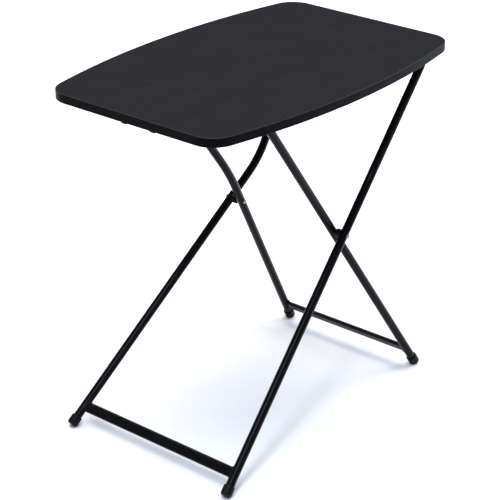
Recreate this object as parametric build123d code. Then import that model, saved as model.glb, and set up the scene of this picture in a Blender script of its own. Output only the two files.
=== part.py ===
from build123d import *
import math
import os

# Folding tray table, millimetres. +Z is up, X runs along the top, Y across it.
# The origin is on the floor, under the middle of the top.

# Table top: one blow-moulded panel, bowed along its long sides
TOP_LENGTH = 660.0
TOP_WIDTH = 447.0  # across the middle
END_WIDTH = 369.0  # across each short end, before the corners are rounded
CORNER_RADIUS = 46.5
TOP_HEIGHT = 667.5  # floor to the upper face, with the bar in the first notch
RIM_HEIGHT = 17.0
RIM_WIDTH = 18.0
SKIN = 8.0  # panel thickness inside the rim
TOP_EDGE_RADIUS = 1.2
RIM_EDGE_RADIUS = 2.0
RECESS_FILLET = 3.0
DIMPLE_RADIUS = 7.0
DIMPLE_DEPTH = 2.6
DIMPLE_PITCH = 52.0

# Frame tube
TUBE_RADIUS = 7.95
TUBE_WALL = 1.2
BORE_RADIUS = TUBE_RADIUS - TUBE_WALL

# Side view of the crossed frames
PIVOT = (84.0, 345.5)  # x and z of the rivets that join the frames
AXIS_HEIGHT = 639.5  # both top bars lie at this height
HINGE_X = 292.0  # top bar of the outer frame, which the top hinges on
BAR_X = 2 * PIVOT[0] - HINGE_X  # top bar of the inner frame, as far from the rivets

# Each frame: a point low on its +Y leg, the leg's knee and its top corner, and the bends
OUTER_FOOT, OUTER_KNEE, OUTER_CORNER = (-306.5, 187, 9.5), (166, 124, 416.5), (HINGE_X, 156, AXIS_HEIGHT)
INNER_FOOT, INNER_KNEE, INNER_CORNER = (291, 156.5, 9.5), (40, 100, 416.5), (BAR_X, 103.5, AXIS_HEIGHT)
OUTER_BEND, INNER_BEND = 240.0, 560.0
CORNER_BEND = 20.0
OUTER_BAR_HALF = 122.0  # half the straight top bar, between the corner bends
INNER_BAR_HALF = 72.0

# Crossbars: flattened tube near the feet
CROSSBAR_WIDTH = 20.0
CROSSBAR_THICK = 8.0
CROSSBAR_RISE = 35.0  # from the foot point, along the leg

# Foot caps
CAP_RADIUS = 10.2
CAP_LENGTH = 19.0
CAP_BASE = 4.0
CAP_ROUND = 4.0  # of the closed end
CAP_LIP = 0.9  # rounding of the open end
CAP_TRIM = 1.4  # how deep the cap's end is worn flat by the floor

# Rivets and the saddle washers between the legs
RIVET_RADIUS = 3.0
RIVET_RUNNING = 0.06
RIVET_HEAD_RADIUS = 4.2
RIVET_HEAD_HEIGHT = 1.5
RIVET_DIMPLE_RADIUS = 1.3  # left by the heading tool
RIVET_DIMPLE_DEPTH = 0.7
HEAD_GAP = 0.65  # flat head to the crown of the leaning leg
WASHER_RADIUS = 8.6
WASHER_ROUND = 0.8
WASHER_SEAT = 0.55  # how far round the outer leg the washer reaches, in tube radii
WASHER_GAP = 1.7  # washer face to the inner leg, which leans past it

# Racks that the inner frame's bar sits in, one notch for each table height
RACK_Y = 32.0
RACK_THICK = 9.0
RACK_BASE = AXIS_HEIGHT - 4.0
RACK_LEFT = -TOP_LENGTH / 2 + RIM_WIDTH + RECESS_FILLET + 2.5
RACK_RIGHT = BAR_X + 21.0
RACK_ROUND = 3.0
RACK_FOOT = 3.0
RACK_FOOT_WIDTH = 25.0
NOTCH_PITCH = 48.0
NOTCH_COUNT = 4
NOTCH_CLEARANCE = 0.35
NOTCH_SLOPE = 40.0  # degrees from upright, on the side that the bar leaves by

# Hinge blocks that hold the outer frame's bar
BLOCK_Y = 80.0
BLOCK_WIDTH = 16.0
BLOCK_RADIUS = 11.8
BLOCK_RUNNING = 0.07
BLOCK_NECK_WIDTH = 16.6
BLOCK_FOOT_LENGTH = 24.0  # flange, from the hinge line towards the middle
BLOCK_FOOT_WIDTH = 26.0

# Pan-head screws
SCREW_RADIUS = 2.0
SCREW_HEAD_RADIUS = 4.0
SCREW_HEAD_HEIGHT = 2.2
SCREW_DEPTH = 6.0  # into the panel
BLOCK_SCREW_SET = 17.0  # from the hinge line
BLOCK_SCREW_HALF_PITCH = 7.0
RACK_SCREW_SET = 4.5  # from the rib's face
RACK_SCREW_END = 29.0  # from the rack's hinge end to its first screw
CROSS_WIDTH = 1.1
CROSS_LENGTH = 4.6
CROSS_DEPTH = 1.2

UNDERSIDE = TOP_HEIGHT - SKIN
RIM_BOTTOM = TOP_HEIGHT - RIM_HEIGHT
SIDES = ((1, "left"), (-1, "right"))  # +Y and -Y
UPWARD = (Align.CENTER, Align.CENTER, Align.MIN)  # a solid that stands on its own origin


def mirrored(point, side):
    """The point on the +Y side (side 1) or on the -Y side (side -1)."""
    return Vector(point[0], side * point[1], point[2])


def bent_path(points, radii):
    """Straight runs through the points, joined by a tangent arc of each radius."""
    pieces, start = [], points[0]
    for before, corner, after, radius in zip(points, points[1:], points[2:], radii):
        incoming, outgoing = (corner - before).normalized(), (after - corner).normalized()
        half_turn = math.radians(incoming.get_angle(outgoing)) / 2
        reach = radius * math.tan(half_turn)
        inward = (outgoing - incoming).normalized()
        arc_start, arc_end = corner - incoming * reach, corner + outgoing * reach
        arc_middle = corner + inward * (radius / math.cos(half_turn) - radius)
        pieces += [Line(start, arc_start), ThreePointArc(arc_start, arc_middle, arc_end)]
        start = arc_end
    pieces.append(Line(start, points[-1]))
    return Wire(pieces)


def rod(path, radius):
    """A round solid along the path."""
    section = Plane(origin=path @ 0, z_dir=path % 0) * Circle(radius)
    return sweep(section, path=path)


def tube(path):
    """Frame tube along the path."""
    return rod(path, TUBE_RADIUS) - rod(path, BORE_RADIUS)


def cylinder_y(x, z, y_low, y_high, radius):
    """A cylinder along Y between two values of y."""
    middle = Plane(origin=(x, (y_low + y_high) / 2, z), z_dir=(0, 1, 0))
    return middle * Cylinder(radius, y_high - y_low)


def top_outline(inset=0.0):
    """The bowed outline, drawn in by inset."""
    end, mid = END_WIDTH / 2, TOP_WIDTH / 2
    half = TOP_LENGTH / 2
    edges = [
        Line((-half, -end), (-half, end)),
        ThreePointArc((-half, end), (0, mid), (half, end)),
        Line((half, end), (half, -end)),
        ThreePointArc((half, -end), (0, -mid), (-half, -end)),
    ]
    face = make_face(Wire(edges))
    face = fillet(face.vertices(), CORNER_RADIUS)
    return offset(face, -inset) if inset else face


def screw_places():
    """Where each screw head bears, as (x, y, z), for the racks and for the blocks."""
    z = UNDERSIDE - RACK_FOOT
    first = RACK_RIGHT - RACK_SCREW_END
    rack_y = RACK_Y + RACK_THICK / 2 + RACK_SCREW_SET
    rack = [
        (first - 1.5 * NOTCH_PITCH * index, side * rack_y, z)
        for index in range(3)
        for side, _ in SIDES
    ]
    block = [
        (HINGE_X - BLOCK_SCREW_SET, side * BLOCK_Y + end * BLOCK_SCREW_HALF_PITCH, z)
        for side, _ in SIDES
        for end in (1, -1)
    ]
    return rack, block


def screw(place):
    """A pan-head screw pointing up, with a cross recess in its head."""
    head = Cylinder(
        SCREW_HEAD_RADIUS, SCREW_HEAD_HEIGHT, align=(Align.CENTER, Align.CENTER, Align.MAX)
    )
    head = fillet(head.edges().group_by(Axis.Z)[0], SCREW_HEAD_HEIGHT * 0.6)
    slot = Box(CROSS_LENGTH, CROSS_WIDTH, CROSS_DEPTH, align=UPWARD)
    for turn in (0, 90):
        head -= Pos(0, 0, -SCREW_HEAD_HEIGHT) * Rot(0, 0, turn) * slot
    return screw_hole(place) + Pos(*place) * head


def screw_hole(place):
    """The space of a screw's shank, through a flange and into the panel."""
    return Pos(*place) * Cylinder(SCREW_RADIUS, SCREW_DEPTH + RACK_FOOT, align=UPWARD)


def tabletop_panel():
    """The panel: a skin inside a deeper rim, dimpled underneath to stiffen it."""
    panel = extrude(Pos(0, 0, RIM_BOTTOM) * top_outline(), RIM_HEIGHT)
    panel = fillet(panel.edges().group_by(Axis.Z)[-1], TOP_EDGE_RADIUS)
    panel = fillet(panel.edges().group_by(Axis.Z)[0], RIM_EDGE_RADIUS)
    recess = extrude(Pos(0, 0, RIM_BOTTOM - 1) * top_outline(RIM_WIDTH), RIM_HEIGHT - SKIN + 1)
    recess = fillet(recess.edges().group_by(Axis.Z)[-1], RECESS_FILLET)
    panel -= recess
    panel -= dimples()
    rack, block = screw_places()
    for place in rack + block:
        panel -= screw_hole(place)
    return panel


def dimples():
    """Shallow cones in a square grid, inside the rim."""
    cone = Cone(DIMPLE_RADIUS, DIMPLE_RADIUS / 2, DIMPLE_DEPTH, align=UPWARD)
    across = int((END_WIDTH / 2 - RIM_WIDTH - DIMPLE_RADIUS) // DIMPLE_PITCH)
    along = int((TOP_LENGTH / 2 - RIM_WIDTH - DIMPLE_RADIUS) // DIMPLE_PITCH)
    cones = []
    for row in range(-across, across + 1):
        for column in range(-along, along + 1):
            cones.append(Pos(column * DIMPLE_PITCH, row * DIMPLE_PITCH, UNDERSIDE) * cone)
    return cones


def leg(points, bend, bar_half, side):
    """A leg's centre line, from the foot round to the bar, and its cap's end and direction."""
    foot, knee, corner = [mirrored(point, side) for point in points]
    direction = (knee - foot).normalized()
    lean = math.sqrt(1 - direction.Z**2)
    # Before it is worn flat, the cap's rounded end reaches CAP_TRIM below the floor.
    drop = (CAP_RADIUS - CAP_ROUND) * lean + CAP_ROUND * (1 - direction.Z)
    end_height = drop - CAP_TRIM
    cap_end = foot + direction * ((end_height - foot.Z) / direction.Z)
    tube_end = cap_end + direction * CAP_BASE
    inner = Vector(corner.X, side * bar_half, corner.Z)
    path = bent_path([tube_end, knee, corner, inner], [bend, CORNER_BEND])
    return path, cap_end, direction


def foot_cap(cap_end, direction):
    """A cup over the tube's end, with a small flat worn where it meets the floor."""
    cup = Cylinder(CAP_RADIUS, CAP_LENGTH, align=UPWARD)
    cup = fillet(cup.edges().group_by(Axis.Z)[0], CAP_ROUND)
    cup = fillet(cup.edges().group_by(Axis.Z)[-1], CAP_LIP)
    cup -= Pos(0, 0, CAP_BASE) * Cylinder(TUBE_RADIUS, CAP_LENGTH, align=UPWARD)
    floor = Box(3 * TOP_LENGTH, 3 * TOP_LENGTH, 100, align=(Align.CENTER, Align.CENTER, Align.MAX))
    return Plane(origin=cap_end, z_dir=direction) * cup - floor


def crossbar(foot, knee, legs):
    """Flattened tube between the legs, its wide side in the plane of the frame."""
    foot, knee = Vector(*foot), Vector(*knee)
    direction = (knee - foot).normalized()
    middle = foot + direction * CROSSBAR_RISE
    upward = Vector(direction.X, 0, direction.Z).normalized()
    section = Plane(origin=(middle.X, -middle.Y, middle.Z), x_dir=upward, z_dir=(0, 1, 0))
    outside = SlotOverall(CROSSBAR_WIDTH, CROSSBAR_THICK)
    inside = SlotOverall(CROSSBAR_WIDTH - 2 * TUBE_WALL, CROSSBAR_THICK - 2 * TUBE_WALL)
    bar = extrude(section * (outside - inside), 2 * middle.Y)
    for path in legs:
        bar -= rod(path, TUBE_RADIUS)
    return bar.solids().sort_by(SortBy.VOLUME)[-1]


def side_y(foot, knee, height):
    """Distance of a leg's centre line from the middle plane at a height."""
    share = (height - foot[2]) / (knee[2] - foot[2])
    return foot[1] + share * (knee[1] - foot[1])


def rivet(side):
    """A rivet through both legs, with a domed head inside and outside."""
    outer = side_y(OUTER_FOOT, OUTER_KNEE, PIVOT[1]) + TUBE_RADIUS + HEAD_GAP
    inner = side_y(INNER_FOOT, INNER_KNEE, PIVOT[1]) - TUBE_RADIUS - HEAD_GAP
    shank = cylinder_y(*PIVOT, inner, outer, RIVET_RADIUS)
    dome = Cylinder(RIVET_HEAD_RADIUS, RIVET_HEAD_HEIGHT, align=UPWARD)
    dome = fillet(dome.edges().group_by(Axis.Z)[-1], RIVET_HEAD_HEIGHT * 0.85)
    dimple = Cylinder(RIVET_DIMPLE_RADIUS, RIVET_DIMPLE_DEPTH, align=UPWARD)
    dome -= Pos(0, 0, RIVET_HEAD_HEIGHT - RIVET_DIMPLE_DEPTH) * dimple
    for face, way in ((outer, 1), (inner, -1)):
        shank += Plane(origin=(PIVOT[0], face, PIVOT[1]), z_dir=(0, way, 0)) * dome
    return shank if side > 0 else mirror(shank, about=Plane.XZ)


def rivet_bore(side, radius):
    """The rivet's hole through whichever leg of this side it is cut from."""
    low, high = sorted((side * TUBE_RADIUS, side * TOP_WIDTH / 2))
    return cylinder_y(*PIVOT, low, high, radius)


def saddle_washer(side, outer_path):
    """A washer between the legs, hollowed on one face to seat on the outer leg."""
    inner_face = side_y(INNER_FOOT, INNER_KNEE, PIVOT[1]) + TUBE_RADIUS + WASHER_GAP
    outer_face = side_y(OUTER_FOOT, OUTER_KNEE, PIVOT[1]) - TUBE_RADIUS * WASHER_SEAT
    low, high = sorted((side * inner_face, side * outer_face))
    washer = cylinder_y(*PIVOT, low, high, WASHER_RADIUS)
    washer = fillet(washer.edges().filter_by(GeomType.CIRCLE), WASHER_ROUND)
    return washer - rivet_bore(side, RIVET_RADIUS) - rod(outer_path, TUBE_RADIUS)


def notch(x):
    """A notch open downwards: upright on the far side, sloped on the hinge side."""
    radius = TUBE_RADIUS + NOTCH_CLEARANCE
    slope = math.radians(NOTCH_SLOPE)
    shoulder = (x + radius * math.cos(slope), AXIS_HEIGHT + radius * math.sin(slope))
    below = RACK_BASE - 1
    mouth = shoulder[0] + (shoulder[1] - below) * math.tan(slope)
    outline = [(x - radius, AXIS_HEIGHT), (x, AXIS_HEIGHT), shoulder, (mouth, below), (x - radius, below)]
    edges = [Line(a, b) for a, b in zip(outline, outline[1:] + outline[:1])]
    opening = make_face(Wire(edges)) + Pos(x, AXIS_HEIGHT) * Circle(radius)
    plane = Plane(origin=(0, 0, 0), x_dir=(1, 0, 0), z_dir=(0, -1, 0))
    return extrude(plane * opening, TOP_WIDTH / 2, both=True)


def height_rack(side):
    """A rib with a row of notches, on a flange that is screwed to the panel."""
    length = RACK_RIGHT - RACK_LEFT
    centre = (RACK_LEFT + RACK_RIGHT) / 2
    rib = Box(length, RACK_THICK, UNDERSIDE - RACK_BASE, align=UPWARD)
    rib = fillet(rib.edges().filter_by(Axis.Y).group_by(Axis.Z)[0], RACK_ROUND)
    flange_y = side * (RACK_Y - RACK_THICK / 2 + RACK_FOOT_WIDTH / 2)
    flange = Box(length, RACK_FOOT_WIDTH, RACK_FOOT, align=UPWARD)
    rack = Pos(centre, side * RACK_Y, RACK_BASE) * rib
    rack += Pos(centre, flange_y, UNDERSIDE - RACK_FOOT) * flange
    for index in range(NOTCH_COUNT):
        rack -= notch(BAR_X - index * NOTCH_PITCH)
    for place in screw_places()[0]:
        if place[1] * side > 0:
            rack -= screw_hole(place)
    return rack


def hinge_block(side):
    """A block bored for the outer frame's bar, on a flange screwed to the panel."""
    y = side * BLOCK_Y
    barrel = cylinder_y(HINGE_X, AXIS_HEIGHT, y - BLOCK_WIDTH / 2, y + BLOCK_WIDTH / 2, BLOCK_RADIUS)
    neck = Box(BLOCK_NECK_WIDTH, BLOCK_WIDTH, UNDERSIDE - AXIS_HEIGHT, align=UPWARD)
    flange_high = TOP_LENGTH / 2 - RIM_WIDTH - RECESS_FILLET - 0.5
    flange_low = HINGE_X - BLOCK_FOOT_LENGTH
    flange = Box(flange_high - flange_low, BLOCK_FOOT_WIDTH, RACK_FOOT, align=UPWARD)
    block = barrel + Pos(HINGE_X, y, AXIS_HEIGHT) * neck
    block += Pos((flange_low + flange_high) / 2, y, UNDERSIDE - RACK_FOOT) * flange
    bore_radius = TUBE_RADIUS + BLOCK_RUNNING
    block -= cylinder_y(HINGE_X, AXIS_HEIGHT, y - BLOCK_WIDTH, y + BLOCK_WIDTH, bore_radius)
    for place in screw_places()[1]:
        if place[1] * side > 0:
            block -= screw_hole(place)
    return block


def top_bar(corner, bar_half):
    """The straight tube between a frame's two corner bends."""
    x, _, z = corner
    outside = cylinder_y(x, z, -bar_half, bar_half, TUBE_RADIUS)
    return outside - cylinder_y(x, z, -bar_half, bar_half, BORE_RADIUS)


def frame(name, points, bend, bar_half, hole_radius):
    """The nodes of one frame, and the centre lines of its legs by side."""
    nodes, paths = {}, {}
    for side, word in SIDES:
        path, cap_end, direction = leg(points, bend, bar_half, side)
        nodes[f"{name}_leg_{word}"] = tube(path) - rivet_bore(side, hole_radius)
        nodes[f"{name}_foot_cap_{word}"] = foot_cap(cap_end, direction)
        paths[side] = path
    nodes[f"{name}_crossbar"] = crossbar(points[0], points[1], paths.values())
    nodes[f"{name}_top_bar"] = top_bar(points[2], bar_half)
    return nodes, paths


def main():
    os.makedirs("parts", exist_ok=True)
    outer_points = (OUTER_FOOT, OUTER_KNEE, OUTER_CORNER)
    inner_points = (INNER_FOOT, INNER_KNEE, INNER_CORNER)
    outer, outer_paths = frame("outer", outer_points, OUTER_BEND, OUTER_BAR_HALF, RIVET_RADIUS)
    inner, _ = frame(
        "inner", inner_points, INNER_BEND, INNER_BAR_HALF, RIVET_RADIUS + RIVET_RUNNING
    )
    nodes = {"tabletop_panel": tabletop_panel(), **outer, **inner}
    for side, word in SIDES:
        nodes[f"pivot_rivet_{word}"] = rivet(side)
        nodes[f"saddle_washer_{word}"] = saddle_washer(side, outer_paths[side])
        nodes[f"height_rack_{word}"] = height_rack(side)
        nodes[f"hinge_block_{word}"] = hinge_block(side)
    rack_screws, block_screws = screw_places()
    nodes["rack_screws"] = Compound([screw(place).solid() for place in rack_screws])
    nodes["hinge_block_screws"] = Compound([screw(place).solid() for place in block_screws])
    for name, shape in nodes.items():
        export_step(shape, f"parts/{name}.step")


main()
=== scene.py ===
import math

import bpy
from bpy.props import FloatProperty, FloatVectorProperty, PointerProperty
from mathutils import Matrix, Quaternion, Vector


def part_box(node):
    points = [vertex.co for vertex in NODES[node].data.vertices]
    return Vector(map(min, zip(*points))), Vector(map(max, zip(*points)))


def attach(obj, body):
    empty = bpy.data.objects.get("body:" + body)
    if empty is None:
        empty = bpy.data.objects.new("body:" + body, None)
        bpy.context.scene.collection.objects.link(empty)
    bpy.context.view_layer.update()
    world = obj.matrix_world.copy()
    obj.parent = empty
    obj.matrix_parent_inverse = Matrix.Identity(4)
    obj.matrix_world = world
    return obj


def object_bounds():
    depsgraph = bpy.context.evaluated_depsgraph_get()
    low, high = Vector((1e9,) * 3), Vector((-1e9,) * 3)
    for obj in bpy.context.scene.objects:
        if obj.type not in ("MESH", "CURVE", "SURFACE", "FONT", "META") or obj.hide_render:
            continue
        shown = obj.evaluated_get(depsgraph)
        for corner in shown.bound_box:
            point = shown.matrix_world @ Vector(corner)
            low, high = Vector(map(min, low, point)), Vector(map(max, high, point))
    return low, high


bl_info = {
    "name": "Folding tray table",
    "version": (1, 0, 0),
    "blender": (4, 5, 0),
    "location": "View3D > Sidebar > Tray table",
    "description": "Finishes, weld beads and a plain studio for a tray table on its CAD frame",
    "category": "Object",
}

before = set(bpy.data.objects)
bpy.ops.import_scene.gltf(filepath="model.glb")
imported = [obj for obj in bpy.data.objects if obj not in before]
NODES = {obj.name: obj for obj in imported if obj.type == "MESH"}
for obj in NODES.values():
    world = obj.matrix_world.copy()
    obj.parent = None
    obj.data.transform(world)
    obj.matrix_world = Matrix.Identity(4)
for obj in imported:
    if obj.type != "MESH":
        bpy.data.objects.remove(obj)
CAD_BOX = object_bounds()
MM = 0.001
SIDES = ("left", "right")
FRAMES = ("outer", "inner")

# Even noise lies almost wholly between these values
EVEN_SPAN = {"From Min": 0.3, "From Max": 0.7}

# A colour Mix node's sockets, which share their names with its other types
MIX_SHARE, MIX_FROM, MIX_TO, MIX_RESULT = 0, 6, 7, 2

# Moulded fittings: faces closer than the gap are joined, and corners sharper than the angle
# are rounded in this many steps
FACE_GAP = 0.005 * MM
CORNER_ANGLE = math.radians(40)
CORNER_STEPS = 2

# Weld beads: a crossbar's rim is its points within this depth of its outer surface, and a bead
# has a section at each spacing round the rim, with this many points round the section
RIM_DEPTH = 0.3 * MM
BEAD_SPACING = 0.3 * MM
FEWEST_SECTIONS = 24
BEAD_SIDES = 12
# Its ripples swell it by one share of its size, and a drift slower than they are by another
RIPPLE_SWELL = 0.14
DRIFT_SWELL, DRIFT_RATE, DRIFT_START = 0.08, 0.37, 1.0

FLOOR_HALF_SIZE = 30.0
SENSOR_WIDTH_MM = 36.0
# Each light's name, its place, its width and length in metres, and its colour
LIGHTS = (
    ("key_light", (-1.5, -0.8, 3.5), (0.5, 3.2), "#e6ecff"),
    ("side_light", (3.4, -1.4, 2.1), (1.2, 1.6), "#c8d8ff"),
    ("overhead_light", (0.8, 0.9, 4.5), (5.0, 5.0), "#ffffff"),
)


# Colours, nodes and patterns

def linear(hex_colour):
    """An sRGB hex colour as linear red, green and blue."""
    channels = [int(hex_colour[i:i + 2], 16) / 255 for i in (1, 3, 5)]
    return [c / 12.92 if c <= 0.04045 else ((c + 0.055) / 1.055) ** 2.4 for c in channels]


def rgba(colour, share=1.0):
    """A linear colour times a share, with the alpha that node sockets take."""
    return (*[channel * share for channel in colour], 1.0)


def add_node(tree, kind, inputs=None, output=0, **settings):
    """Adds a shader node and returns one of its outputs. Each of its inputs is given a value, or
    another node's output to link."""
    made = tree.nodes.new(f"ShaderNode{kind}")
    for name, value in settings.items():
        setattr(made, name, value)
    for key, value in (inputs or {}).items():
        socket = made.inputs[key]
        if isinstance(value, bpy.types.NodeSocket):
            tree.links.new(value, socket)
        else:
            socket.default_value = value
    return made.outputs[output]


def new_material(name, shader_values):
    """A material, its node tree, and where a point is on its own piece. Patterns start from that
    point, so that they stay on the piece as it folds."""
    material = bpy.data.materials.new(name)
    material.use_nodes = True
    tree = material.node_tree
    shader = tree.nodes["Principled BSDF"]
    for key, value in shader_values.items():
        shader.inputs[key].default_value = value
    return material, tree, add_node(tree, "TexCoord", output="Object")


def per_metre(millimetres):
    """A texture's scale for a pattern that repeats at this size."""
    return 1 / (millimetres * MM)


def blotches(tree, point, size_mm, detail=2.0, roughness=0.5, stretch=(1, 1, 1)):
    """An even pattern from 0 to 1 about 0.5, in blotches of this size that can be stretched."""
    scale = [per_metre(size_mm) / s for s in stretch]
    moved = add_node(tree, "Mapping", {"Vector": point, "Scale": scale}, vector_type="POINT")
    return add_node(tree, "TexNoise", {
        "Vector": moved, "Scale": 1.0, "Detail": detail, "Roughness": roughness,
    }, output="Fac")


def mottled(tree, pattern, colour, start, end, span=EVEN_SPAN):
    """A colour that goes from one share of itself to another as the pattern crosses its span."""
    share = add_node(tree, "MapRange", {"Value": pattern, **span})
    return add_node(tree, "Mix", {
        MIX_SHARE: share, MIX_FROM: rgba(colour, start), MIX_TO: rgba(colour, end),
    }, output=MIX_RESULT, data_type="RGBA")


def laid_over(tree, colour, mask, strength, top_colour):
    """A colour with another laid over it, at this strength where the mask is 1."""
    share = add_node(tree, "Math", {0: mask, 1: strength}, operation="MULTIPLY")
    return add_node(tree, "Mix", {
        MIX_SHARE: share, MIX_FROM: colour, MIX_TO: rgba(top_colour),
    }, output=MIX_RESULT, data_type="RGBA")


def finish_surface(tree, colour, roughness, *reliefs):
    """Gives a material's shader its colour, its roughness and its reliefs. Each relief is a
    pattern from 0 to 1, its depth in millimetres and its strength, and lies over the one before."""
    shader = tree.nodes["Principled BSDF"]
    tree.links.new(colour, shader.inputs["Base Color"])
    tree.links.new(roughness, shader.inputs["Roughness"])
    below = {}
    for pattern, depth_mm, strength in reliefs:
        inputs = {"Height": pattern, "Distance": depth_mm * MM, "Strength": strength, **below}
        below = {"Normal": add_node(tree, "Bump", inputs, output="Normal")}
    tree.links.new(below["Normal"], shader.inputs["Normal"])


# Materials

def blow_moulded_polyethylene(look):
    """HDPE, blow moulded: a matt leather grain from the mould on both faces, and a smoother rim
    with the mould's parting line half way up, its colour painted darker as shade for the sides, so
    that the eye reads a hollow panel."""
    material, tree, point = new_material("polyethylene_blow_moulded", {
        "IOR": 1.54, "Metallic": 0.0, "Specular IOR Level": look.panel_specular,
    })
    facing = add_node(tree, "TexCoord", output="Normal")
    upward = add_node(tree, "SeparateXYZ", {"Vector": facing}, output="Z")
    level = add_node(tree, "Math", {0: upward}, operation="ABSOLUTE")
    faces = add_node(tree, "MapRange", {"Value": level, "From Min": 0.75, "From Max": 0.97})

    # The mould's grain is about 1 mm across; it is drawn at twice that, so that it shows.
    grain_mm = look.grain_size / MM
    grain = add_node(tree, "TexVoronoi", {
        "Vector": point, "Scale": per_metre(grain_mm), "Smoothness": 0.6, "Randomness": 1.0,
    }, output="Distance", feature="SMOOTH_F1")
    wrinkles = blotches(tree, point, size_mm=0.6 * grain_mm, detail=3.0)
    faint_wrinkles = add_node(tree, "Math", {0: wrinkles, 1: 0.5}, operation="MULTIPLY")
    pebbles = add_node(tree, "Math", {0: grain, 1: faint_wrinkles}, operation="ADD")
    grain_share = add_node(tree, "MapRange", {"Value": faces, "To Min": 0.15})
    grain_height = add_node(tree, "Math", {0: pebbles, 1: grain_share}, operation="MULTIPLY")

    # Parting line: a thin seam half way up the rim, where the mould's halves meet
    panel_low, panel_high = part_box("tabletop_panel")
    rim_middle = (panel_low.z + panel_high.z) / 2
    height = add_node(tree, "SeparateXYZ", {"Vector": point}, output="Z")
    above_seam = add_node(tree, "Math", {0: height, 1: rim_middle}, operation="SUBTRACT")
    off_seam = add_node(tree, "Math", {0: above_seam}, operation="ABSOLUTE")
    seam = add_node(tree, "MapRange", {
        "Value": off_seam, "From Min": 0.1 * MM, "From Max": 0.45 * MM, "To Min": 1.0,
        "To Max": 0.0,
    })

    # Colour: slow flow marks and a fine speckle on the faces, over the rim, which is painted darker
    # as shade for its sides
    flow = blotches(tree, point, size_mm=45, detail=4.0, roughness=0.55, stretch=(2.2, 1, 1))
    speckle = blotches(tree, point, size_mm=3.2, detail=3.0, roughness=0.6)
    flow_part = add_node(tree, "Math", {0: flow, 1: 0.6}, operation="MULTIPLY")
    speckle_part = add_node(tree, "Math", {0: speckle, 1: 0.4}, operation="MULTIPLY")
    tone = add_node(tree, "Math", {0: flow_part, 1: speckle_part}, operation="ADD")
    tone_span = {"From Min": 0.34, "From Max": 0.66}
    face_colour = mottled(tree, tone, look.panel_colour, 0.86, 1.14, tone_span)
    colour = add_node(tree, "Mix", {
        MIX_SHARE: faces, MIX_FROM: rgba(look.shaded_rim_colour), MIX_TO: face_colour,
    }, output=MIX_RESULT, data_type="RGBA")

    # Wear: faint scuffs along the top; and a painted highlight, a paler tone along the rounded
    # upper edge where light glints
    scratches = blotches(tree, point, size_mm=2.4, stretch=(14, 1, 1))
    scuffs = add_node(tree, "MapRange", {"Value": scratches, "From Min": 0.66, "From Max": 0.74})
    colour = laid_over(tree, colour, scuffs, 0.06, look.scuff_and_highlight_colour)
    over_rim = add_node(tree, "MapRange", {"Value": upward, "From Min": 0.15, "From Max": 0.45})
    off_face = add_node(tree, "MapRange", {
        "Value": upward, "From Min": 0.85, "From Max": 0.99, "To Min": 1.0, "To Max": 0.0,
    })
    painted_edge_highlight = add_node(tree, "Math", {0: over_rim, 1: off_face}, operation="MULTIPLY")
    colour = laid_over(tree, colour, painted_edge_highlight, 0.35, look.scuff_and_highlight_colour)

    moulded = add_node(tree, "MapRange", {
        "Value": faces, "To Min": look.rim_roughness, "To Max": look.panel_roughness,
    })
    uneven = add_node(tree, "MapRange", {
        "Value": speckle, **EVEN_SPAN, "To Min": -0.04, "To Max": 0.04,
    })
    roughness = add_node(tree, "Math", {0: moulded, 1: uneven}, operation="ADD")
    polish = add_node(tree, "Math", {0: scuffs, 1: 0.08}, operation="MULTIPLY")
    roughness = add_node(tree, "Math", {0: roughness, 1: polish}, operation="SUBTRACT")
    finish_surface(tree, colour, roughness, (grain_height, 0.12, 0.55), (seam, 0.12, 0.7))
    return material


def powder_coated_steel(look):
    """Mild steel tube, powder coated: a thin satin skin with the faint orange peel of baked
    powder, which breaks up the long highlights, and dull rubbed patches low on the legs."""
    material, tree, point = new_material("steel_powder_coated", {
        "IOR": 1.5, "Metallic": 0.0, "Specular IOR Level": look.paint_specular,
    })
    peel = blotches(tree, point, size_mm=2.6, detail=1.0)
    cloud = blotches(tree, point, size_mm=18, detail=3.0)
    # Powder grains are a tenth of a millimetre; they are drawn at one, so that they show.
    grains = blotches(tree, point, size_mm=1.0, roughness=0.6)

    wear = blotches(tree, point, size_mm=5, detail=5.0, roughness=0.7)
    worn = add_node(tree, "MapRange", {"Value": wear, "From Min": 0.6, "From Max": 0.7})
    height = add_node(tree, "SeparateXYZ", {"Vector": point}, output="Z")
    low_down = add_node(tree, "MapRange", {
        "Value": height, "From Min": 25 * MM, "From Max": 110 * MM, "To Min": 1.0, "To Max": 0.12,
    })
    rubbed = add_node(tree, "Math", {0: worn, 1: low_down}, operation="MULTIPLY")
    colour = mottled(tree, cloud, look.paint_colour, 0.85, 1.2)
    colour = laid_over(tree, colour, rubbed, 0.12, look.scuff_and_highlight_colour)

    satin = add_node(tree, "MapRange", {
        "Value": cloud, **EVEN_SPAN, "To Min": 0.15, "To Max": 0.21,
    })
    uneven = add_node(tree, "MapRange", {
        "Value": grains, **EVEN_SPAN, "To Min": -0.03, "To Max": 0.03,
    })
    roughness = add_node(tree, "Math", {0: satin, 1: uneven}, operation="ADD")
    dulled = add_node(tree, "Math", {0: rubbed, 1: 0.2}, operation="MULTIPLY")
    roughness = add_node(tree, "Math", {0: roughness, 1: dulled}, operation="ADD")
    finish_surface(tree, colour, roughness, (peel, 0.05, 0.35), (grains, 0.02, 0.3))
    return material


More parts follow.
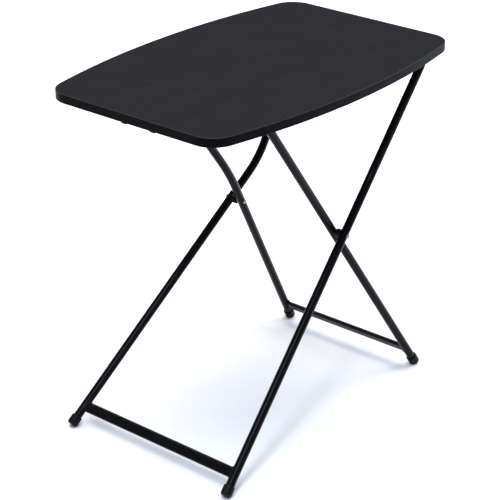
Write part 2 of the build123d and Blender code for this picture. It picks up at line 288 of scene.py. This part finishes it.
def moulded_nylon(look):
    """Nylon, injection moulded: a fine spark-eroded bloom with flow marks along the part."""
    material, tree, point = new_material("nylon_injection_moulded", {
        "IOR": 1.53, "Metallic": 0.0, "Specular IOR Level": 0.1,
    })
    # The bloom is a tenth of a millimetre; it is drawn at nearly one, so that it shows.
    bloom = blotches(tree, point, size_mm=0.9, detail=3.0, roughness=0.65)
    flow = blotches(tree, point, size_mm=6, stretch=(5, 1, 1))
    colour = mottled(tree, flow, look.fitting_colour, 0.85, 1.2)
    matt = add_node(tree, "MapRange", {
        "Value": bloom, **EVEN_SPAN, "To Min": 0.42, "To Max": 0.54,
    })
    streaks = add_node(tree, "MapRange", {
        "Value": flow, **EVEN_SPAN, "To Min": -0.03, "To Max": 0.03,
    })
    roughness = add_node(tree, "Math", {0: matt, 1: streaks}, operation="ADD")
    finish_surface(tree, colour, roughness, (bloom, 0.05, 0.35))
    return material


def moulded_polypropylene(look):
    """Polypropylene, injection moulded: waxy and even, a little glossier where legs rub it."""
    material, tree, point = new_material("polypropylene_injection_moulded", {
        "IOR": 1.49, "Metallic": 0.0, "Specular IOR Level": 0.1,
    })
    wax = blotches(tree, point, size_mm=1.4)
    rubbed = blotches(tree, point, size_mm=5)
    rubbed_span = {"From Min": 0.35, "From Max": 0.65}
    colour = mottled(tree, rubbed, look.washer_colour, 0.9, 1.15, rubbed_span)
    roughness = add_node(tree, "MapRange", {
        "Value": rubbed, **rubbed_span, "To Min": 0.3, "To Max": 0.45,
    })
    finish_surface(tree, colour, roughness, (wax, 0.03, 0.3))
    return material


def moulded_rubber(look):
    """Rubber, moulded: a soft dark bloom, with a pale scuffed ring where it meets the floor."""
    material, tree, point = new_material("rubber_moulded", {
        "IOR": 1.52, "Metallic": 0.0, "Specular IOR Level": 0.1,
    })
    # The mould's stipple is a fifth of a millimetre; it is drawn at one, so that it shows.
    stipple = blotches(tree, point, size_mm=1.1, roughness=0.6)
    grime = blotches(tree, point, size_mm=4, detail=4.0)
    ragged = add_node(tree, "MapRange", {
        "Value": grime, **EVEN_SPAN, "To Min": -2.5 * MM, "To Max": 2.5 * MM,
    })
    height = add_node(tree, "SeparateXYZ", {"Vector": point}, output="Z")
    ragged_height = add_node(tree, "Math", {0: height, 1: ragged}, operation="ADD")
    scuffed = add_node(tree, "MapRange", {
        "Value": ragged_height, "From Min": 0.5 * MM, "From Max": 4.5 * MM, "To Min": 1.0,
        "To Max": 0.0,
    })
    colour = mottled(tree, stipple, look.cap_colour, 0.85, 1.2)
    colour = laid_over(tree, colour, scuffed, 0.4, look.scuff_and_highlight_colour)
    dull = add_node(tree, "MapRange", {
        "Value": stipple, **EVEN_SPAN, "To Min": 0.36, "To Max": 0.46,
    })
    dusty = add_node(tree, "Math", {0: scuffed, 1: 0.2}, operation="MULTIPLY")
    roughness = add_node(tree, "Math", {0: dull, 1: dusty}, operation="ADD")
    finish_surface(tree, colour, roughness, (stipple, 0.04, 0.35))
    return material


def bright_zinc_steel(look, rivet):
    """Steel, cold headed and bright zinc plated, with the faint rings of the heading tool."""
    material, tree, point = new_material(f"steel_bright_zinc_{rivet}", {"Metallic": 1.0})
    low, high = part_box(rivet)
    from_axis = add_node(tree, "VectorMath", {0: point, 1: (low + high) / 2}, operation="SUBTRACT")
    # The wave repeats about three times in its size, so 9 mm gives rings nearly 3 mm apart.
    rings = add_node(tree, "TexWave", {
        "Vector": from_axis, "Scale": per_metre(9), "Distortion": 0.4, "Detail": 1.0,
    }, output="Fac", wave_type="RINGS", rings_direction="Y")
    tarnish = blotches(tree, point, size_mm=2.5, detail=3.0)
    tarnish_span = {"From Min": 0.35, "From Max": 0.7}
    colour = mottled(tree, tarnish, look.rivet_colour, 1.0, 0.82, tarnish_span)
    roughness = add_node(tree, "MapRange", {
        "Value": tarnish, **EVEN_SPAN, "To Min": 0.2, "To Max": 0.32,
    })
    finish_surface(tree, colour, roughness, (rings, 0.02, 0.25))
    return material


def zinc_plated_steel(look):
    """Steel, zinc plated with a clear passivate: silky, with a faint blue-grey cloud."""
    material, tree, point = new_material("steel_zinc_plated", {"Metallic": 1.0})
    cloud = blotches(tree, point, size_mm=1.6, detail=3.0)
    colour = mottled(tree, cloud, look.screw_colour, 0.85, 1.0)
    roughness = add_node(tree, "MapRange", {
        "Value": cloud, **EVEN_SPAN, "To Min": 0.3, "To Max": 0.42,
    })
    finish_surface(tree, colour, roughness, (cloud, 0.02, 0.25))
    return material


def matt_paper(studio):
    """Background paper, uncoated and rolled: pale and even, with a barely visible cloud of
    fibres, which are too fine to be drawn one by one."""
    material, tree, point = new_material("paper_uncoated", {
        "IOR": 1.5, "Specular IOR Level": 0.1,
    })
    fibres = blotches(tree, point, size_mm=60, detail=4.0)
    colour = mottled(tree, fibres, studio.floor_colour, 0.985, 1.0)
    roughness = add_node(tree, "MapRange", {
        "Value": fibres, **EVEN_SPAN, "To Min": 0.85, "To Max": 0.95,
    })
    finish_surface(tree, colour, roughness, (fibres, 0.05, 0.1))
    return material


# Putting a finish on CAD pieces

def coat(node, material):
    """Gives every material slot of a CAD piece this finish."""
    mesh = NODES[node].data
    if not mesh.materials:
        mesh.materials.append(material)
    for index in range(len(mesh.materials)):
        mesh.materials[index] = material


def soften_edges(node, width):
    """Joins a moulded part's faces again and rounds its corners."""
    piece = NODES[node]
    joining = piece.modifiers.new("join_faces", "WELD")
    joining.merge_threshold = FACE_GAP
    rounding = piece.modifiers.new("soft_edges", "BEVEL")
    rounding.width = width
    rounding.segments = CORNER_STEPS
    rounding.limit_method = "ANGLE"
    rounding.angle_limit = CORNER_ANGLE
    rounding.use_clamp_overlap = True
    rounding.harden_normals = True


# Weld beads

def end_loop(bar, end):
    """The outer rim of a crossbar's end (1 at +Y, -1 at -Y), as points in order round the bar."""
    points = [v.co.copy() for v in bar.data.vertices if v.co.y * end > 0]
    middle = sum(points, Vector()) / len(points)
    # The bar's section is wide along the leg, so its widest direction is found by its moments.
    level = sum((p.x - middle.x) ** 2 for p in points)
    upright = sum((p.z - middle.z) ** 2 for p in points)
    mixed = sum((p.x - middle.x) * (p.z - middle.z) for p in points)
    lean = math.atan2(2 * mixed, level - upright) / 2
    wide = Vector((math.cos(lean), 0, math.sin(lean)))
    thick = Vector((-math.sin(lean), 0, math.cos(lean)))
    placed = [((p - middle).dot(wide), (p - middle).dot(thick), p) for p in points]
    half_thick = max(abs(t) for _, t, _ in placed)
    core = max(abs(w) for w, _, _ in placed) - half_thick
    on_rim = []
    for across, through, point in placed:
        beyond = max(abs(across) - core, 0.0)
        if math.hypot(beyond, through) > half_thick - RIM_DEPTH:
            on_rim.append((math.atan2(through, across), point))
    return [point for _, point in sorted(on_rim, key=lambda pair: pair[0])]


def even_loop(points, spacing):
    """Points at even distances round a closed loop."""
    closed = points + points[:1]
    lengths = [(b - a).length for a, b in zip(closed, closed[1:])]
    total = sum(lengths)
    count = max(FEWEST_SECTIONS, round(total / spacing))
    spots, index, passed = [], 0, 0.0
    for step in range(count):
        along = total * step / count
        while passed + lengths[index] < along:
            passed += lengths[index]
            index += 1
        share = (along - passed) / lengths[index] if lengths[index] else 0.0
        spots.append(closed[index].lerp(closed[index + 1], share))
    return spots, total / count


def weld_bead(name, loop, size, ripple):
    """A rippled bead round a loop: each ripple is where the welder paused and moved on."""
    spots, spacing = even_loop(loop, BEAD_SPACING)
    centre = sum(spots, Vector()) / len(spots)
    vertices, faces = [], []
    for index, spot in enumerate(spots):
        ahead, behind = spots[(index + 2) % len(spots)], spots[index - 2]
        along = (ahead - behind).normalized()
        outward = (spot - centre).normalized()
        outward = (outward - along * outward.dot(along)).normalized()
        sideways = along.cross(outward)
        phase = 2 * math.pi * index * spacing / ripple
        drift = math.sin(DRIFT_RATE * phase + DRIFT_START)
        swell = 1 + RIPPLE_SWELL * math.sin(phase) + DRIFT_SWELL * drift
        for corner in range(BEAD_SIDES):
            turn = 2 * math.pi * corner / BEAD_SIDES
            reach = outward * math.cos(turn) + sideways * math.sin(turn)
            vertices.append(spot + reach * size * swell)
    for index in range(len(spots)):
        near, far = index * BEAD_SIDES, (index + 1) % len(spots) * BEAD_SIDES
        for corner in range(BEAD_SIDES):
            beside = (corner + 1) % BEAD_SIDES
            faces.append((near + corner, near + beside, far + beside, far + corner))
    mesh = bpy.data.meshes.new(name)
    mesh.from_pydata(vertices, [], faces)
    mesh.shade_smooth()
    bead = bpy.data.objects.new(name, mesh)
    bpy.context.scene.collection.objects.link(bead)
    return bead


# Settings

def hue(name, description, hex_colour):
    """A setting for a colour."""
    return FloatVectorProperty(
        name=name, description=description, default=linear(hex_colour), subtype="COLOR",
        min=0.0, max=1.0,
    )


def fraction(name, description, default):
    """A setting from 0 to 1."""
    return FloatProperty(
        name=name, description=description, default=default, min=0.0, max=1.0, subtype="FACTOR",
    )


def length(name, description, default):
    """A setting for a size or distance."""
    return FloatProperty(
        name=name, description=description, default=default, min=0.0, unit="LENGTH",
    )


def angle(name, description, degrees):
    """A setting for an angle, given in degrees."""
    return FloatProperty(
        name=name, description=description, default=math.radians(degrees), subtype="ANGLE",
    )


def power(name, description, watts):
    """A setting for a light's power."""
    return FloatProperty(
        name=name, description=description, default=watts, min=0.0, unit="POWER",
    )


class TableLook(bpy.types.PropertyGroup):
    """Colours and surface sizes of the table"""

    panel_colour: hue("Panel", "Grained faces of the top", "#171719")
    # The rim's colour is darker than the panel's as painted shade for the top's sides
    shaded_rim_colour: hue("Rim", "Smooth rim of the top", "#040405")
    paint_colour: hue("Paint", "Powder coat on the frames", "#0b0b0d")
    fitting_colour: hue("Fittings", "Racks and hinge blocks under the top", "#161618")
    washer_colour: hue("Washers", "Saddle washers between the legs", "#0c0c0e")
    cap_colour: hue("Caps", "Foot caps", "#0c0c0e")
    rivet_colour: hue("Rivets", "Bright zinc plate on the rivets", "#8e8e8c")
    screw_colour: hue("Screws", "Zinc plate on the screws", "#b4b8bd")
    # This colour is also the painted highlight along the top's rounded upper edge, besides real
    # scuffs and dust
    scuff_and_highlight_colour: hue("Scuffs", "Rubbed and dusty places", "#5a5a5c")
    panel_specular: fraction("Panel gloss", "How strongly the top's plastic reflects", 0.04)
    paint_specular: fraction("Paint gloss", "How strongly the powder coat reflects", 0.1)
    panel_roughness: fraction("Panel roughness", "Roughness of the grained faces", 0.68)
    rim_roughness: fraction("Rim roughness", "Roughness of the smooth rim", 0.4)
    grain_size: length("Grain", "Size of the grain on the top's faces", 2.2 * MM)
    bead_size: length("Weld bead", "Radius of the weld beads", 2.1 * MM)
    bead_ripple: length("Weld ripple", "From one ripple of a bead to the next", 2.0 * MM)
    edge_width: length("Soft edges", "Width of the rounded corners on fittings", 0.4 * MM)


class Studio(bpy.types.PropertyGroup):
    """Camera, lights and floor"""

    azimuth: angle("Azimuth", "Camera's turn round the table", -49.83)
    elevation: angle("Elevation", "Camera above the horizon", 25.21)
    roll: angle("Roll", "Camera's tilt about its own line of sight", -0.19)
    distance: length("Distance", "Camera to the point that it looks at", 3.231)
    aim: FloatVectorProperty(
        name="Aim", description="Point that the camera looks at, from the middle of the table",
        default=(-0.0244, -0.0029, -0.0189), subtype="XYZ", unit="LENGTH",
    )
    lens: FloatProperty(
        name="Lens", description="Focal length in millimetres", default=127.4, unit="CAMERA",
    )
    floor_colour: hue("Floor", "Pale paper on the floor", "#f6f6f5")
    sky_colour: hue("Surroundings", "Colour of the even light from all round", "#e6e8ec")
    sky_strength: FloatProperty(
        name="Surroundings strength", description="Strength of the even light", default=0.38,
        min=0.0,
    )
    key_power: power("Key light", "Long strip of soft light above the front", 95.0)
    side_power: power("Side light", "Cool light low at the hinged end", 85.0)
    overhead_power: power("Overhead light", "Wide soft light high above", 290.0)


# Operators

class FinishTabletop(bpy.types.Operator):
    """Gives the top its grained, blow moulded surface"""

    bl_idname = "tray_table.finish_tabletop"
    bl_label = "Tabletop"

    def execute(self, context):
        coat("tabletop_panel", blow_moulded_polyethylene(context.scene.table_look))
        return {"FINISHED"}


class FinishFrames(bpy.types.Operator):
    """Powder coats the legs, top bars and crossbars"""

    bl_idname = "tray_table.finish_frames"
    bl_label = "Frames"

    def execute(self, context):
        paint = powder_coated_steel(context.scene.table_look)
        for name in FRAMES:
            for part in ("leg_left", "leg_right", "top_bar", "crossbar"):
                coat(f"{name}_{part}", paint)
        return {"FINISHED"}


class AddWeldBeads(bpy.types.Operator):
    """Adds a painted weld bead where each crossbar meets a leg"""

    bl_idname = "tray_table.add_weld_beads"
    bl_label = "Weld beads"

    def execute(self, context):
        look = context.scene.table_look
        paint = bpy.data.materials.get("steel_powder_coated")
        if paint is None:
            raise RuntimeError("finish the frames before adding their welds")
        for name in FRAMES:
            for side, end in zip(SIDES, (1, -1)):
                loop = end_loop(NODES[f"{name}_crossbar"], end)
                bead = weld_bead(f"{name}_weld_{side}", loop, look.bead_size, look.bead_ripple)
                bead.data.materials.append(paint)
                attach(bead, f"{name}_frame")
        return {"FINISHED"}


class FinishFootCaps(bpy.types.Operator):
    """Gives the foot caps their dull rubber surface"""

    bl_idname = "tray_table.finish_foot_caps"
    bl_label = "Foot caps"

    def execute(self, context):
        rubber = moulded_rubber(context.scene.table_look)
        for name in FRAMES:
            for side in SIDES:
                coat(f"{name}_foot_cap_{side}", rubber)
        return {"FINISHED"}


class FinishFittings(bpy.types.Operator):
    """Gives the height racks and hinge blocks their nylon surface and soft edges"""

    bl_idname = "tray_table.finish_fittings"
    bl_label = "Racks and hinge blocks"

    def execute(self, context):
        look = context.scene.table_look
        nylon = moulded_nylon(look)
        for part in ("height_rack", "hinge_block"):
            for side in SIDES:
                coat(f"{part}_{side}", nylon)
                soften_edges(f"{part}_{side}", look.edge_width)
        return {"FINISHED"}


class FinishWashers(bpy.types.Operator):
    """Gives the saddle washers their waxy surface"""

    bl_idname = "tray_table.finish_washers"
    bl_label = "Saddle washers"

    def execute(self, context):
        plastic = moulded_polypropylene(context.scene.table_look)
        for side in SIDES:
            coat(f"saddle_washer_{side}", plastic)
        return {"FINISHED"}


class FinishRivets(bpy.types.Operator):
    """Plates the pivot rivets"""

    bl_idname = "tray_table.finish_rivets"
    bl_label = "Pivot rivets"

    def execute(self, context):
        for side in SIDES:
            rivet = f"pivot_rivet_{side}"
            coat(rivet, bright_zinc_steel(context.scene.table_look, rivet))
        return {"FINISHED"}


class FinishScrews(bpy.types.Operator):
    """Plates the screws that hold the racks and hinge blocks"""

    bl_idname = "tray_table.finish_screws"
    bl_label = "Screws"

    def execute(self, context):
        zinc = zinc_plated_steel(context.scene.table_look)
        for node in ("rack_screws", "hinge_block_screws"):
            coat(node, zinc)
        return {"FINISHED"}


def add_area_light(name, place, target, size, watts, colour):
    """A soft rectangular light that faces a target."""
    lamp = bpy.data.lights.new(name, "AREA")
    lamp.shape = "RECTANGLE"
    lamp.size, lamp.size_y = size
    lamp.energy, lamp.color = watts, linear(colour)
    light = bpy.data.objects.new(name, lamp)
    light.location = place
    light.rotation_mode = "QUATERNION"
    light.rotation_quaternion = (target - Vector(place)).to_track_quat("-Z", "Y")
    bpy.context.scene.collection.objects.link(light)


class BuildStudio(bpy.types.Operator):
    """Adds the pale floor, soft lights, surroundings and camera"""

    bl_idname = "tray_table.build_studio"
    bl_label = "Studio"

    def execute(self, context):
        scene, studio = context.scene, context.scene.studio
        low, high = CAD_BOX
        middle = (low + high) / 2

        mesh = bpy.data.meshes.new("studio_floor")
        half = FLOOR_HALF_SIZE
        corners = [(-half, -half), (half, -half), (half, half), (-half, half)]
        mesh.from_pydata([(x, y, low.z) for x, y in corners], [], [(0, 1, 2, 3)])
        mesh.materials.append(matt_paper(studio))
        floor = bpy.data.objects.new("studio_floor", mesh)
        scene.collection.objects.link(floor)

        powers = (studio.key_power, studio.side_power, studio.overhead_power)
        for (name, place, size, colour), watts in zip(LIGHTS, powers):
            add_area_light(name, place, middle, size, watts, colour)

        world = bpy.data.worlds.new("surroundings")
        world.use_nodes = True
        background = world.node_tree.nodes["Background"]
        background.inputs["Color"].default_value = rgba(studio.sky_colour)
        background.inputs["Strength"].default_value = studio.sky_strength
        scene.world = world
        scene.view_settings.view_transform = "Standard"

        camera = bpy.data.objects.new("camera", bpy.data.cameras.new("camera"))
        camera.data.lens, camera.data.sensor_width = studio.lens, SENSOR_WIDTH_MM
        back = Vector((
            math.sin(studio.azimuth) * math.cos(studio.elevation),
            -math.cos(studio.azimuth) * math.cos(studio.elevation),
            math.sin(studio.elevation),
        ))
        camera.location = middle + Vector(studio.aim) + back * studio.distance
        camera.rotation_mode = "QUATERNION"
        roll = Quaternion((0, 0, 1), studio.roll)
        camera.rotation_quaternion = (-back).to_track_quat("-Z", "Y") @ roll
        scene.collection.objects.link(camera)
        scene.camera = camera
        return {"FINISHED"}


OPERATORS = (
    FinishTabletop,
    FinishFrames,
    AddWeldBeads,
    FinishFootCaps,
    FinishFittings,
    FinishWashers,
    FinishRivets,
    FinishScrews,
    BuildStudio,
)


class TrayTablePanel(bpy.types.Panel):
    """Buttons for each finish of the tray table, and its settings"""

    bl_idname = "VIEW3D_PT_tray_table"
    bl_label = "Folding tray table"
    bl_space_type = "VIEW_3D"
    bl_region_type = "UI"
    bl_category = "Tray table"

    def draw(self, context):
        for operator in OPERATORS:
            self.layout.operator(operator.bl_idname)
        for group in (context.scene.table_look, context.scene.studio):
            box = self.layout.box()
            for name in group.__annotations__:
                box.prop(group, name)


CLASSES = (TableLook, Studio, *OPERATORS, TrayTablePanel)


def register():
    for made in CLASSES:
        bpy.utils.register_class(made)
    bpy.types.Scene.table_look = PointerProperty(type=TableLook)
    bpy.types.Scene.studio = PointerProperty(type=Studio)


def unregister():
    del bpy.types.Scene.studio
    del bpy.types.Scene.table_look
    for made in reversed(CLASSES):
        bpy.utils.unregister_class(made)


def main():
    register()
    for operator in OPERATORS:
        group, name = operator.bl_idname.split(".")
        getattr(getattr(bpy.ops, group), name)()


if __name__ == "__main__":
    main()
